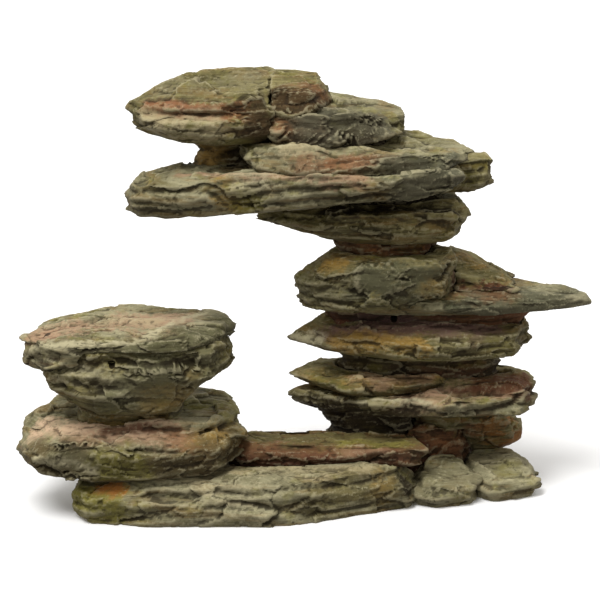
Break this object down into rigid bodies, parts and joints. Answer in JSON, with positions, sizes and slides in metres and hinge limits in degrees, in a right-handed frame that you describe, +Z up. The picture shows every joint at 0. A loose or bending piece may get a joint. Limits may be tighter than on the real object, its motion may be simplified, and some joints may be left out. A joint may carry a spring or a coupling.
{
  "type": "aquarium stacked rock ornament",
  "caption": "Slate-look cast resin aquarium ornament: low base, short boulder stack and a tall column of ledges carrying a long cantilevered slab and a boulder over a swim-through window.",
  "frame": {"origin": "middle of the footprint on the floor, under the base", "axes": "+X right seen from the front, +Y back, +Z up"},
  "size_m": [0.3236, 0.1293, 0.237],
  "materials": {
    "olive_resin": "cast resin, olive wash over grey-green, dry-brushed pale on the edges",
    "grey_resin": "cast resin, grey-green wash with pale dry-brushed edges",
    "rust_resin": "cast resin, red-brown wash",
    "moss_resin": "cast resin, ochre and yellow-green wash",
    "shade_resin": "cast resin, near-black wash in the recesses",
    "glass_fibre": "pultruded glass-fibre rod"
  },
  "bodies": {
    "root": {"front_slab": "olive_resin", "rear_slab": "rust_resin", "heel_stone": "rust_resin", "right_front_stone": "grey_resin", "right_end_stone": "grey_resin", "left_foot_bed": "shade_resin", "left_lower_boulder": "grey_resin", "left_neck": "moss_resin", "left_belly_stone": "olive_resin", "left_cap_slab": "grey_resin", "column_foot": "shade_resin", "foot_lobe_stone": "moss_resin", "lower_ledge_bottom_leaf": "olive_resin", "lower_ledge_top_leaf": "rust_resin", "lower_neck": "shade_resin", "middle_ledge": "olive_resin", "vent_bed": "rust_resin", "tip_slab": "grey_resin", "upper_ledge_block": "olive_resin", "upper_ledge_hump": "moss_resin", "capital_neck": "rust_resin", "capital_slab": "olive_resin", "throat_bed": "shade_resin", "end_tab": "moss_resin", "cantilever_slab": "grey_resin", "cantilever_top_leaf": "grey_resin", "summit_neck": "moss_resin", "summit_boulder": "olive_resin", "summit_back_stone": "moss_resin", "summit_wedge": "rust_resin", "wedge_bed": "shade_resin", "column_rod": "glass_fibre", "left_rod": "glass_fibre", "summit_rod": "glass_fibre"}
  },
  "joints": []
}
